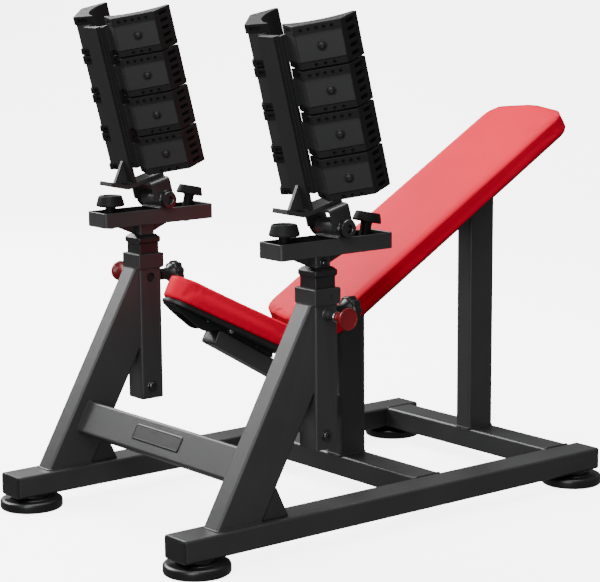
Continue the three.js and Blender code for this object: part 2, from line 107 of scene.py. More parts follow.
def vary_colour(tree, bsdf, source, colour, low, high):
    """Moves the base colour between two multiples of itself by a texture."""
    ramp = tree.nodes.new("ShaderNodeValToRGB")
    for element, share, place in zip(ramp.color_ramp.elements, (low, high), (0.3, 0.7)):
        element.color = (*[min(1, c * share) for c in colour], 1)
        element.position = place
    tree.links.new(source, ramp.inputs["Fac"])
    tree.links.new(ramp.outputs["Color"], bsdf.inputs["Base Color"])
    return ramp


def vary_roughness(tree, bsdf, source, low, high):
    span = tree.nodes.new("ShaderNodeMapRange")
    span.inputs["To Min"].default_value = low
    span.inputs["To Max"].default_value = high
    tree.links.new(source, span.inputs["Value"])
    tree.links.new(span.outputs["Result"], bsdf.inputs["Roughness"])


def bump(tree, bsdf, sources, strength, distance):
    """Adds one or more height textures to the surface."""
    height = sources[0]
    for extra in sources[1:]:
        total = tree.nodes.new("ShaderNodeMath")
        tree.links.new(height, total.inputs[0])
        tree.links.new(extra, total.inputs[1])
        height = total.outputs["Value"]
    node = tree.nodes.new("ShaderNodeBump")
    node.inputs["Strength"].default_value = strength
    node.inputs["Distance"].default_value = distance
    tree.links.new(height, node.inputs["Height"])
    tree.links.new(node.outputs["Normal"], bsdf.inputs["Normal"])


def painted_edge_highlight(tree, bsdf, ramp, colour):
    """Painted highlight: lightens the colour of sharp outer edges a little, standing in for light caught on
    them.
    """
    geometry = tree.nodes.new("ShaderNodeNewGeometry")
    edge_glint = tree.nodes.new("ShaderNodeMapRange")
    edge_glint.inputs["From Min"].default_value = 0.54
    edge_glint.inputs["From Max"].default_value = 0.66
    edge_glint.inputs["To Max"].default_value = 0.45
    mix = tree.nodes.new("ShaderNodeMix")
    mix.data_type = "RGBA"
    mix.inputs["B"].default_value = (*colour, 1)
    tree.links.new(geometry.outputs["Pointiness"], edge_glint.inputs["Value"])
    tree.links.new(edge_glint.outputs["Result"], mix.inputs["Factor"])
    tree.links.new(ramp.outputs["Color"], mix.inputs["A"])
    tree.links.new(mix.outputs["Result"], bsdf.inputs["Base Color"])


def powder_coat(name, colour, rough):
    material, tree, bsdf = shader(name, colour, rough, 0.0, Specular_IOR_Level=0.5)
    cloud = texture(tree, "ShaderNodeTexNoise", 9, Detail=4)
    grain = texture(tree, "ShaderNodeTexNoise", 1300, Detail=2)
    ramp = vary_colour(tree, bsdf, cloud.outputs["Fac"], colour, 0.86, 1.16)
    # painted highlight: sharp outer edges get a lighter colour, about 3.2 times the base
    painted_edge_highlight(tree, bsdf, ramp, [min(1, c * 3.2 + 0.02) for c in colour])
    vary_roughness(tree, bsdf, cloud.outputs["Fac"], rough - 0.05, rough + 0.07)
    bump(tree, bsdf, [grain.outputs["Fac"]], 0.35, 0.0003)
    return material


def moulded(name, colour, rough, grain_scale, strength, **sockets):
    material, tree, bsdf = shader(name, colour, rough, 0.0, **sockets)
    cloud = texture(tree, "ShaderNodeTexNoise", 14, Detail=3)
    grain = texture(tree, "ShaderNodeTexVoronoi", grain_scale)
    vary_colour(tree, bsdf, cloud.outputs["Fac"], colour, 0.85, 1.2)
    vary_roughness(tree, bsdf, cloud.outputs["Fac"], rough - 0.06, rough + 0.08)
    bump(tree, bsdf, [grain.outputs["Distance"]], strength, 0.0003)
    return material


def vinyl(name, colour):
    material, tree, bsdf = shader(name, colour, 0.46, 0.0, Specular_IOR_Level=0.05)
    cells = texture(tree, "ShaderNodeTexVoronoi", 620)
    cells.feature = "SMOOTH_F1"
    wrinkle = texture(tree, "ShaderNodeTexNoise", 70, Detail=6, Roughness=0.62)
    cloud = texture(tree, "ShaderNodeTexNoise", 5, Detail=3)
    vary_colour(tree, bsdf, cloud.outputs["Fac"], colour, 0.93, 1.06)
    vary_roughness(tree, bsdf, wrinkle.outputs["Fac"], 0.40, 0.54)
    bump(tree, bsdf, [cells.outputs["Distance"], wrinkle.outputs["Fac"]], 0.30, 0.0005)
    return material


def brushed(name, colour, rough):
    material, tree, bsdf = shader(name, colour, rough, 1.0)
    streak = texture(tree, "ShaderNodeTexNoise", 420, Detail=3)
    vary_colour(tree, bsdf, streak.outputs["Fac"], colour, 0.85, 1.1)
    vary_roughness(tree, bsdf, streak.outputs["Fac"], rough - 0.06, rough + 0.1)
    bump(tree, bsdf, [streak.outputs["Fac"]], 0.08, 0.0002)
    return material


def make_materials():
    MATERIALS.update({
        "steel": (powder_coat("charcoal_powder_coat", (0.0250, 0.0253, 0.0258), 0.37), "painted_steel"),
        "dark": (powder_coat("black_powder_coat", (0.0070, 0.0072, 0.0075), 0.50), "dark_steel"),
        "bolt": (brushed("blackened_steel", (0.10, 0.10, 0.105), 0.30), "bright_bolt"),
        "chrome": (brushed("bright_steel", (0.62, 0.63, 0.65), 0.20), "bright_bolt"),
        "rubber": (moulded("moulded_rubber", (0.0105, 0.0107, 0.0110), 0.52, 900, 0.35,
                           Specular_IOR_Level=0.17), "rubber"),
        "foot": (moulded("foot_rubber", (0.0080, 0.0082, 0.0084), 0.34, 700, 0.2), "rubber"),
        "plastic": (moulded("black_plastic", (0.0100, 0.0102, 0.0105), 0.36, 1100, 0.22), "black_plastic"),
        "red_plastic": (moulded("red_plastic", (0.22, 0.005, 0.010), 0.33, 1400, 0.1), "red_plastic"),
        "vinyl": (vinyl("red_vinyl", (0.72, 0.0010, 0.0300)), "red_vinyl"),
        "board": (moulded("cushion_shell", (0.0100, 0.0102, 0.0104), 0.46, 800, 0.3), "cushion_board"),
    })


# ---------- mesh toolkit
def loft(name, loops, cyclic=False):
    """Skins matching loops of points; the two ends are closed unless the loops run in a ring."""
    bm = bmesh.new()
    rings = [[bm.verts.new(p) for p in loop] for loop in loops]
    count = len(rings[0])
    pairs = list(zip(rings, rings[1:] + rings[:1])) if cyclic else list(zip(rings, rings[1:]))
    for a, b in pairs:
        for i in range(count):
            j = (i + 1) % count
            bm.faces.new((a[i], a[j], b[j], b[i]))
    if not cyclic:
        bm.faces.new(list(reversed(rings[0])))
        bm.faces.new(rings[-1])
    return finished(name, bm)


def finished(name, bm):
    bmesh.ops.remove_doubles(bm, verts=bm.verts, dist=1e-4)
    bmesh.ops.recalc_face_normals(bm, faces=bm.faces)
    mesh = bpy.data.meshes.new(name)
    bm.to_mesh(mesh)
    bm.free()
    return mesh


def mapped(points, origin, a, b, distance=0.0):
    """2-D points placed on a plane through origin with directions a and b, moved along their normal."""
    a, b = Vector(a).normalized(), Vector(b).normalized()
    base = Vector(origin) + a.cross(b) * distance
    return [base + a * p + b * q for p, q in points]


def extrude(name, points, origin, a, b, depth):
    return loft(name, [mapped(points, origin, a, b), mapped(points, origin, a, b, depth)])


def prism(name, points, low, high):
    """An outline in x and z, between two values of y."""
    return extrude(name, points, (0, high, 0), X, Z, high - low)


def rounded_rect(width, height, radius, steps=5):
    a, b = width / 2 - radius, height / 2 - radius
    points = []
    for i, (x, y) in enumerate(((a, b), (-a, b), (-a, -b), (a, -b))):
        for k in range(steps + 1):
            angle = math.pi / 2 * (i + k / steps)
            points.append((x + radius * math.cos(angle), y + radius * math.sin(angle)))
    return points


def hollow(name, width, height, start, end, across, radius=6.0, wall=3.0, lip=0.8):
    """Open rectangular tube with rounded corners and slightly broken end edges."""
    start, end, across = Vector(start), Vector(end), Vector(across)
    run = (end - start).normalized()
    up = run.cross(across)
    length = (end - start).length

    def ring(inset, along):
        points = rounded_rect(width - 2 * inset, height - 2 * inset, max(radius - inset, 0.8))
        return mapped(points, start, across, up, along)

    outer = [ring(lip, 0), ring(0, lip), ring(0, length - lip), ring(lip, length)]
    return loft(name, outer + [ring(wall, length), ring(wall, 0)], cyclic=True)


def lathe(name, profile, origin, axis, segments=48):
    axis = Vector(axis).normalized()
    side = X if abs(axis.z) > 0.9 else Z
    a = axis.cross(side).normalized()
    b = axis.cross(a)
    loops = []
    for radius, along in profile:
        centre = Vector(origin) + axis * along
        turn = [2 * math.pi * i / segments for i in range(segments)]
        loops.append([centre + (a * math.cos(t) + b * math.sin(t)) * max(radius, 0.05) for t in turn])
    return loft(name, loops)


def soften(mesh, width, segments=2, angle=38, along=None):
    """Rounds sharp edges, or only those that run along one direction."""
    bm = bmesh.new()
    bm.from_mesh(mesh)
    picked = []
    for edge in bm.edges:
        if len(edge.link_faces) != 2 or edge.calc_face_angle() < math.radians(angle):
            continue
        run = (edge.verts[1].co - edge.verts[0].co).normalized()
        if along is None or abs(run.dot(Vector(along).normalized())) > 0.995:
            picked.append(edge)
    bmesh.ops.bevel(bm, geom=picked, offset=width, offset_type="OFFSET", segments=segments, profile=0.5,
                    affect="EDGES", clamp_overlap=True)
    bmesh.ops.recalc_face_normals(bm, faces=bm.faces)
    bm.to_mesh(mesh)
    bm.free()
    return mesh


def merged(name, *meshes):
    bm = bmesh.new()
    for mesh in meshes:
        bm.from_mesh(mesh)
    result = bpy.data.meshes.new(name)
    bm.to_mesh(result)
    bm.free()
    return result


def applied(mesh, kind, **settings):
    """The mesh with one modifier applied."""
    holder = bpy.data.objects.new("holder", mesh)
    bpy.context.scene.collection.objects.link(holder)
    modifier = holder.modifiers.new("change", kind)
    for key, value in settings.items():
        setattr(modifier, key, value)
    bpy.context.view_layer.update()
    result = bpy.data.meshes.new_from_object(holder.evaluated_get(bpy.context.evaluated_depsgraph_get()))
    bpy.data.objects.remove(holder)
    return result


def carved(mesh, *cutters, operation="DIFFERENCE"):
    for cutter in cutters:
        tool = bpy.data.objects.new("tool", cutter)
        bpy.context.scene.collection.objects.link(tool)
        mesh = applied(mesh, "BOOLEAN", operation=operation, solver="EXACT", object=tool)
        bpy.data.objects.remove(tool)
    return mesh


def sliced(mesh, point, normal):
    """Keeps the side of a plane that its normal points away from, and closes the cut."""
    bm = bmesh.new()
    bm.from_mesh(mesh)
    geometry = bm.verts[:] + bm.edges[:] + bm.faces[:]
    cut = bmesh.ops.bisect_plane(bm, geom=geometry, plane_co=point, plane_no=normal, clear_outer=True)
    rim = [g for g in cut["geom_cut"] if isinstance(g, bmesh.types.BMEdge)]
    bmesh.ops.contextual_create(bm, geom=rim)
    return finished(mesh.name, bm)


def rod(radius, origin, axis, low, high, segments=24):
    return lathe("rod", [(radius, low), (radius, high)], origin, axis, segments)


def placed(name, mesh, body, finish, nodes=(), shift=0.0, flip=False, smooth=36):
    """Puts a drawn mesh into the row frame as a piece that rides on a body."""
    mesh = mesh.copy()
    mesh.name = name
    change = Matrix.Translation(ORIGIN) @ Matrix.Scale(0.001, 4) @ Matrix.Translation((0, shift, 0))
    if flip:
        change = change @ Matrix.Diagonal((1, -1, 1, 1))
    mesh.transform(change)
    if flip:
        mesh.flip_normals()
    mesh.polygons.foreach_set("use_smooth", [True] * len(mesh.polygons))
    mesh.set_sharp_from_angle(angle=math.radians(smooth))
    mesh = applied(mesh, "WEIGHTED_NORMAL", keep_sharp=True, weight=100)
    mesh.name = name
    piece = bpy.data.objects.new(name, mesh)
    bpy.context.scene.collection.objects.link(piece)
    material, slot = MATERIALS[finish]
    mesh.materials.clear()
    mesh.materials.append(material)
    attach(piece, body)
    if nodes:
        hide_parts(*nodes)
    return piece


def pair(name, mesh, body, finish, node=None, smooth=36):
    """The left piece, drawn around y = 0 with its outer side towards -y, and its mirror image."""
    for side, sign in SIDES:
        target = body if body == "frame" else f"{side}_{body}"
        nodes = (f"{node}_{side}",) if node else ()
        placed(f"{name}_{side}", mesh, target, finish, nodes, sign * SIDE_Y, side == "right", smooth)


def twin(name, mesh, finish, node=None, smooth=36):
    """The same cradle piece on both sides, moved across and not mirrored."""
    for side, sign in SIDES:
        nodes = (f"{node}_{side}",) if node else ()
        placed(f"{name}_{side}", mesh, f"{side}_cradle", finish, nodes, sign * SIDE_Y, False, smooth)


def button_bolt(centre, axis, radius=9.0, washer=0.0):
    """Button-head bolt with a hex socket, standing out along axis, on an optional washer."""
    base = 1.8 if washer else 0.0
    head = [(radius, base), (radius, base + 1.2), (radius * 0.93, base + 2.6), (radius * 0.72, base + 4.2),
            (radius * 0.48, base + 5.0), (radius * 0.44, base + 5.0), (radius * 0.42, base + 2.2)]
    parts = [lathe("head", [(radius * 0.6, base - 0.6)] + head, centre, axis, 24)]
    if washer:
        parts.append(lathe("washer", [(washer, 0), (washer, 1.3), (washer - 0.7, 1.9)], centre, axis, 32))
    return merged("bolt", *parts)


def hex_bolt(centre, axis, flats=13.0, height=5.0, washer=9.5):
    corner, base = flats / 1.732, 1.4
    profile = [(corner, base), (corner, base + height - 1), (flats / 2.05, base + height)]
    head = lathe("head", profile, centre, axis, 6)
    ring = lathe("washer", [(washer, 0), (washer, 1.1), (washer - 0.6, 1.6)], centre, axis, 28)
    return merged("bolt", head, ring)


def weld(points, radius=2.3, closed=False, ripple=0.35):
    """A rippled weld bead laid along a line of points."""
    path = [Vector(p) for p in points]
    spans = list(zip(path, path[1:] + path[:1])) if closed else list(zip(path, path[1:]))
    dense = []
    for a, b in spans:
        steps = max(2, int((b - a).length / 2.6))
        dense += [a.lerp(b, i / steps) for i in range(steps)]
    if not closed:
        dense.append(path[-1])
    loops = []
    for i, centre in enumerate(dense):
        before = dense[i - 1] if closed or i else dense[0]
        after = dense[(i + 1) % len(dense)] if closed or i + 1 < len(dense) else dense[-1]
        run = (after - before).normalized()
        side = run.cross(Z if abs(run.z) < 0.9 else X).normalized()
        up = run.cross(side)
        r = radius * (1 + ripple * (0.5 * math.sin(i * 2.1) + random.uniform(-0.3, 0.3)))
        turn = [2 * math.pi * k / 8 for k in range(8)]
        loops.append([centre + (side * math.cos(t) + up * math.sin(t)) * r for t in turn])
    return loft("weld", loops, cyclic=closed)


def rect_path(width, height, origin, a, b, radius=5.0):
    return mapped(rounded_rect(width, height, radius, 3), origin, a, b)


def offset(points, distance):
    """A 2-D line moved sideways; positive is to the left of its direction."""
    normals = []
    for (ax, ay), (bx, by) in zip(points, points[1:]):
        length = math.hypot(bx - ax, by - ay)
        normals.append((-(by - ay) / length, (bx - ax) / length))
    moved = []
    for i, (x, y) in enumerate(points):
        n, m = normals[max(i - 1, 0)], normals[min(i, len(normals) - 1)]
        scale = distance / (1 + n[0] * m[0] + n[1] * m[1])
        moved.append((x + (n[0] + m[0]) * scale, y + (n[1] + m[1]) * scale))
    return moved


def strip(points, left, right):
    return offset(points, left) + offset(points, right)[::-1]


def filleted(points, radius, steps=5):
    """Rounds the inner corners of a 2-D line."""
    result = [points[0]]
    for before, corner, after in zip(points, points[1:], points[2:]):
        c, a, b = Vector(corner), Vector(before), Vector(after)
        start = c + (a - c).normalized() * radius
        end = c + (b - c).normalized() * radius
        for k in range(steps + 1):
            t = k / steps
            p = start.lerp(c, t).lerp(c.lerp(end, t), t)
            result.append((p.x, p.y))
    result.append(points[-1])
    return result


# ---------- floor frame
RAIL_Z = (RAIL_LOW + RAIL_TOP) / 2
RAIL_HEIGHT = RAIL_TOP - RAIL_LOW
RAIL_INNER = SIDE_Y - RAIL_WIDTH / 2
FOOT_SET = 51.0
LEG_C, LEG_S = heading(LEG_ANGLE)


def tube_cap(width, height, centre, direction, across):
    """Domed plastic plug in the end of a tube; it stands out along direction."""
    direction, across = Vector(direction), Vector(across)
    up = direction.cross(across)
    levels = ((3.4, -6), (3.4, 0.02), (0.7, 0.02), (0.5, 1.4), (1.6, 2.6), (4.5, 3.5), (12, 4.2))
    loops = []
    for inset, out in levels:
        points = rounded_rect(width - 2 * inset, height - 2 * inset, max(6.0 - inset, 1.2))
        loops.append(mapped(points, centre, across, up, out))
    return loft("cap", loops)


def build_rails():
    rail = hollow("rail", RAIL_WIDTH, RAIL_HEIGHT, (0, 0, RAIL_Z), (RAIL_LENGTH, 0, RAIL_Z), Y)
    pair("rail", rail, "frame", "steel", "rail")
    for end, x, direction in (("front", 0, -X), ("rear", RAIL_LENGTH, X)):
        cap = tube_cap(RAIL_WIDTH, RAIL_HEIGHT, (x, 0, RAIL_Z), direction, Y)
        pair(f"end_cap_{end}", cap, "frame", "plastic")
    for end, x in (("front", FOOT_SET), ("rear", RAIL_LENGTH - FOOT_SET)):
        pair(f"foot_{end}", foot(x), "frame", "foot", f"foot_{end}")
        profile = [(7, 23.9), (7, 25.6), (5, 26.6), (2.4, 26.6), (2.2, 24.8)]
        screw = lathe("screw", profile, (x + 55, 0, 0), Z, 24)
        pair(f"foot_screw_{end}", screw, "frame", "bolt")


def foot(x):
    profile = [(0, 0), (64, 0), (67, 0.5), (69.4, 2.2), (70.5, 5), (70.5, 15.5), (70.0, 18.4), (68.2, 21.0),
               (65.2, 22.4), (62, 22.8), (47, 23.4), (45.6, 24.6), (44, 24.9), (37, 25.0), (34.5, 26.2),
               (33, 28.5), (32.6, 31.6), (0, 31.6)]
    return lathe("foot", profile, (x, 0, 0), Z, 72)


def build_crossmembers():
    for name, x in (("mid_crossmember", MID_X), ("rear_crossmember", REAR_X)):
        cross = hollow(name, RAIL_WIDTH, RAIL_HEIGHT, (x, -RAIL_INNER, RAIL_Z), (x, RAIL_INNER, RAIL_Z), X)
        placed(f"{name}_tube", cross, "frame", "steel", (name,))
        bead = weld(rect_path(RAIL_WIDTH, RAIL_HEIGHT, (x, RAIL_INNER - 0.6, RAIL_Z), X, Z), closed=True)
        for side, _ in SIDES:
            placed(f"weld_{name}_{side}", bead, "frame", "steel", flip=side == "left")


def leg_front(z):
    return LEG_FOOT_X + (z - RAIL_TOP) * LEG_C / LEG_S


def build_legs():
    back = LEG_DEPTH / LEG_S
    face = MAST_X - MAST_FACE
    rear = RAIL_TOP + (face - LEG_FOOT_X - back) * LEG_S / LEG_C
    points = [(LEG_FOOT_X, RAIL_TOP), (LEG_FOOT_X + back, RAIL_TOP), (face, rear), (face, LEG_TOP),
              (leg_front(LEG_TOP), LEG_TOP)]
    leg = soften(prism("leg", points, -TUBE_HALF, TUBE_HALF), 6.0, 4, along=(LEG_C, 0, LEG_S))
    pair("leg", leg, "frame", "steel", "leg")
    rear_x = LEG_FOOT_X + back
    gusset = [(rear_x - 2, RAIL_TOP), (271.5, RAIL_TOP), (240.5, 149), (leg_front(149) + back - 2, 149)]
    pair("leg_gusset", soften(prism("gusset", gusset, -22, 22), 2.2, 3), "frame", "steel")
    foot_line = rect_path(back, TUBE_NARROW, (LEG_FOOT_X + back / 2, 0, RAIL_TOP + 0.4), X, Y, 6)
    pair("weld_leg_foot", weld(foot_line, closed=True), "frame", "steel")
    for name, y in (("outer", -25.0), ("inner", 25.0)):
        seam = [(face + 0.4, y, z) for z in range(int(rear) + 4, int(LEG_TOP), 12)]
        pair(f"weld_leg_mast_{name}", weld(seam, 2.0), "frame", "steel")


def build_front_crossmember():
    along, deep, half = (108.5 + 184.7) / 2, LEG_DEPTH / 2, SIDE_Y - TUBE_HALF
    centre = Vector((LEG_FOOT_X + along * LEG_C + deep * LEG_S, 0, RAIL_TOP + along * LEG_S - deep * LEG_C))
    run = Vector((LEG_C, 0, LEG_S))
    normal = Vector((-LEG_S, 0, LEG_C))
    bar = hollow("bar", TUBE_WIDE, TUBE_NARROW, centre - Y * half, centre + Y * half, run)
    placed("front_crossmember_tube", bar, "frame", "steel", ("front_crossmember",))
    bead = weld(rect_path(TUBE_WIDE, TUBE_NARROW, centre + Y * (half - 0.6), run, normal), closed=True)
    for side, _ in SIDES:
        placed(f"weld_front_crossmember_{side}", bead, "frame", "steel", flip=side == "left")
    face = centre + normal * TUBE_HALF + run * 2.4
    plate = [mapped(rounded_rect(175 - 2 * i, 36 - 2 * i, 6 - i / 2), face + normal * h, Y, run)
             for i, h in ((0, -0.4), (0, 1.2), (1.0, 1.9), (3.0, 1.9), (3.4, 1.3), (4.2, 1.2))]
    placed("name_plate", loft("plate", plate), "frame", "plastic")


def board_under(x):
    px, pz, angle = BACK_PLANE
    c, s = heading(angle)
    return pz - 48.4 / c + (x - px) * s / c


def build_posts():
    c, s = heading(BACK_PLANE[2])
    for name, x in (("mid_post", MID_X), ("rear_post", REAR_X)):
        points = rounded_rect(TUBE_WIDE, TUBE_NARROW, 6)
        post = extrude(name, points, (x, 0, RAIL_TOP), X, Y, board_under(x) + 60 - RAIL_TOP)
        post = sliced(post, (x, 0, board_under(x) - 0.4), (-s, 0, c))
        placed(f"{name}_tube", post, "frame", "steel", (name,))
        rim = rect_path(TUBE_WIDE, TUBE_NARROW, (x, 0, RAIL_TOP + 0.4), X, Y)
        placed(f"weld_{name}", weld(rim, closed=True), "frame", "steel")
        centre = Vector((x, 0, board_under(x))) + Vector((s, 0, -c)) * 4.2
        flange = extrude("flange", rounded_rect(128, 108, 10), centre, (c, 0, s), Y, 4.0)
        placed(f"{name}_flange", soften(flange, 0.8), "frame", "steel")
        for i, (a, b) in enumerate(((-52, -42), (-52, 42), (52, -42), (52, 42))):
            spot = centre + Vector((c, 0, s)) * a + Y * b
            placed(f"{name}_bolt_{i + 1}", hex_bolt(spot, (s, 0, -c), 11, 4, 8), "frame", "bolt")


def build_seat_tube():
    front, rear_x, depth = SEAT_TUBE_FRONT, MID_X - TUBE_WIDE / 2, 38.1
    c, s = heading(SEAT_TUBE_ANGLE)
    low = (front[0] + s * depth, front[1] - c * depth)
    points = [front, (rear_x, front[1] + (rear_x - front[0]) * s / c),
              (rear_x, low[1] + (rear_x - low[0]) * s / c), low]
    tube = soften(prism("tube", points, -TUBE_HALF, TUBE_HALF), 5.0, 4, along=(c, 0, s))
    placed("seat_tube_body", tube, "frame", "steel", ("seat_tube",))
    middle = Vector(((front[0] + low[0]) / 2, 0, (front[1] + low[1]) / 2))
    cap = tube_cap(TUBE_NARROW, depth, middle, (-c, 0, -s), Y)
    placed("seat_tube_cap", cap, "frame", "plastic")
    height = points[1][1] - points[2][1]
    joint = rect_path(TUBE_NARROW, height, (rear_x - 0.5, 0, (points[1][1] + points[2][1]) / 2), Y, Z, 5)
    placed("weld_seat_tube", weld(joint, closed=True), "frame", "steel")


# ---------- seat and backrest
def rounded_end(end, inner, half, corner, bulge, steps=10):
    turn = 1 if end > inner else -1
    edge = end - bulge * turn
    side = edge - corner * turn

    def curve(a, b, c):
        points = []
        for k in range(steps):
            t = k / steps
            points.append(tuple((1 - t) ** 2 * a[i] + 2 * t * (1 - t) * b[i] + t * t * c[i] for i in (0, 1)))
        return points

    h = half * turn
    q = (half - corner) * turn
    return (curve((side, -h), (edge, -h), (edge, -q)) + curve((edge, -q), (end, -q / 2), (end, 0))
            + curve((end, 0), (end, q / 2), (edge, q)) + curve((edge, q), (edge, h), (side, h)) + [(side, h)])


def back_outline():
    return rounded_end(714, 0, 129.5, 60, 10) + rounded_end(-178, 0, 129.5, 60, 10)


def seat_outline():
    slope, nose, length = 0.205, 45.1, 330
    tangent = math.atan(slope)
    half = nose / math.cos(tangent) + slope * (length - 58 - nose)
    start, end = math.pi / 2 + tangent, 1.5 * math.pi - tangent
    arc = [start + (end - start) * i / 24 for i in range(25)]
    front = [(nose + nose * math.cos(a), nose * math.sin(a)) for a in arc]
    return rounded_end(length, 0, half, 50, 8) + front


def spaced(points, step):
    """The same closed outline with evenly spread points."""
    ring = [Vector((*p, 0)) for p in points]
    ring = [p for i, p in enumerate(ring) if (p - ring[i - 1]).length > 0.01]
    lengths = [(b - a).length for a, b in zip(ring, ring[1:] + ring[:1])]
    count = int(sum(lengths) / step)
    result, walked, i = [], 0.0, 0
    for k in range(count):
        goal = sum(lengths) * k / count
        while walked + lengths[i] < goal:
            walked += lengths[i]
            i += 1
        p = ring[i].lerp(ring[(i + 1) % len(ring)], (goal - walked) / lengths[i])
        result.append((p.x, p.y))
    return result


def inset(points, distance):
    """A closed outline, counter-clockwise, moved inwards."""
    result = []
    count = len(points)
    for i, (x, y) in enumerate(points):
        (ax, ay), (bx, by) = points[i - 1], points[(i + 1) % count]
        length = math.hypot(bx - ax, by - ay)
        result.append((x - (by - ay) / length * distance, y + (bx - ax) / length * distance))
    return result


def on_plane(points, plane, depth):
    """Outline points placed at a depth below a cushion's top plane."""
    x, z, angle = plane
    c, s = heading(angle)
    return [(x + a * c + s * depth, b, z + a * s - c * depth) for a, b in points]


def layers(name, outline, plane, profile):
    """A slab built from (inset, depth) steps, from its underside to its top."""
    return loft(name, [on_plane(inset(outline, i), plane, d) for i, d in profile])


def stuffed(mesh, plane, pinned_depth):
    """Swells a cushion with cloth pressure.

    What lies deeper than pinned_depth below its top plane stays put. No point moves further than SWELL_CAP.
    """
    mesh = mesh.copy()
    mesh.transform(Matrix.Translation(ORIGIN) @ Matrix.Scale(0.001, 4))
    mesh = applied(mesh, "REMESH", mode="VOXEL", voxel_size=STUFF_VOXEL)
    body = bpy.data.objects.new("stuffing", mesh)
    bpy.context.scene.collection.objects.link(body)
    c, s = heading(plane[2])
    normal = Vector((-s, 0, c))
    top = ORIGIN + Vector((plane[0], 0, plane[1])) * 0.001
    group = body.vertex_groups.new(name="pin")
    for vertex in mesh.vertices:
        depth = (top - vertex.co).dot(normal) * 1000
        group.add([vertex.index], 1.0 if depth > pinned_depth else 0.0, "REPLACE")
    cloth = body.modifiers.new("cloth", "CLOTH")
    cloth.settings.vertex_group_mass = "pin"
    cloth.settings.use_pressure = True
    cloth.settings.uniform_pressure_force = STUFF_PRESSURE
    cloth.settings.effector_weights.gravity = 0
    cloth.settings.tension_stiffness = 25
    cloth.settings.bending_stiffness = 2
    cloth.point_cache.frame_start = 1
    cloth.point_cache.frame_end = STUFF_FRAMES
    scene = bpy.context.scene
    for step in range(1, STUFF_FRAMES + 1):
        scene.frame_set(step)
    swollen = bpy.data.meshes.new_from_object(body.evaluated_get(bpy.context.evaluated_depsgraph_get()))
    for rest, vertex in zip(mesh.vertices, swollen.vertices):
        move = vertex.co - rest.co
        if move.length > SWELL_CAP / 1000:
            vertex.co = rest.co + move.normalized() * SWELL_CAP / 1000
    bpy.data.objects.remove(body)
    scene.frame_set(1)
    swollen.transform(Matrix.Scale(1000, 4) @ Matrix.Translation(-ORIGIN))
    return applied(swollen, "SUBSURF", levels=1, render_levels=1)


def seam_welt(outline, plane, cushion, radius=1.1):
    """Sewn welt laid on a cushion along its top edge."""
    faces = [tuple(p.vertices) for p in cushion.polygons]
    tree = BVHTree.FromPolygons([v.co for v in cushion.vertices], faces)
    ring = spaced(outline, 6)
    outside, inside = on_plane(inset(ring, -8), plane, -8), on_plane(inset(ring, 14), plane, 14)
    path = []
    for start, aim in zip(outside, inside):
        start, aim = Vector(start), Vector(aim)
        path.append(tree.ray_cast(start, (aim - start).normalized())[0])
    return weld(path, radius, closed=True, ripple=0.06)


def build_cushions():
    back, seat = spaced(back_outline(), 9), spaced(seat_outline(), 7)
    edge = ((0.5, 12), (0.6, 5.0), (1.4, 2.4), (3.4, 0.9), (8, 0.3))
    body = ((9, 44.3), (2.2, 44.1), (0.9, 41), (0.5, 30), *edge, (40, 0.2))
    cushion = stuffed(layers("back", back, BACK_PLANE, body), BACK_PLANE, 42.5)
    placed("backrest_welt", seam_welt(back, BACK_PLANE, cushion), "frame", "vinyl", smooth=80)
    placed("backrest_cushion", cushion, "frame", "vinyl", ("back_pad",), smooth=80)
    body = ((9, 49.9), (2.4, 49.7), (0.9, 46.5), (0.5, 34), (0.5, 14), *edge[1:], (24, 0.2))
    cushion = stuffed(layers("seat", seat, SEAT_PLANE, body), SEAT_PLANE, 48.0)
    placed("seat_welt", seam_welt(seat, SEAT_PLANE, cushion), "frame", "vinyl", smooth=80)
    placed("seat_cushion", cushion, "frame", "vinyl", ("seat_pad",), smooth=80)
    shell = ((9, 48.35), (6.0, 48.2), (5.2, 47.4), (5.0, 45.4), (5.6, 44.5), (9, 44.45))
    placed("backrest_shell", layers("shell", back, BACK_PLANE, shell), "frame", "board", ("back_board",))
    shell = ((14, 60.9), (5.5, 60.7), (3.4, 60.0), (2.6, 58.4), (2.6, 54.8), (3.2, 53.6), (5.6, 53.0),
             (6.6, 52.2), (6.6, 50.6), (9, 50.2))
    placed("seat_shell", layers("shell", seat, SEAT_PLANE, shell), "frame", "board", ("seat_board",))
    c, s = heading(BACK_PLANE[2])
    for i, (a, b) in enumerate(((640, -86), (640, 86), (-110, -80), (-110, 80))):
        spot = on_plane([(a, b)], BACK_PLANE, 48.3)[0]
        placed(f"shell_bolt_{i + 1}", hex_bolt(spot, (s, 0, -c), 12, 5, 9), "frame", "bolt")


def seat_under(x, depth):
    px, pz, angle = SEAT_PLANE
    c, s = heading(angle)
    under = 61 + depth
    return pz - c * under + (x - px - s * under) * s / c


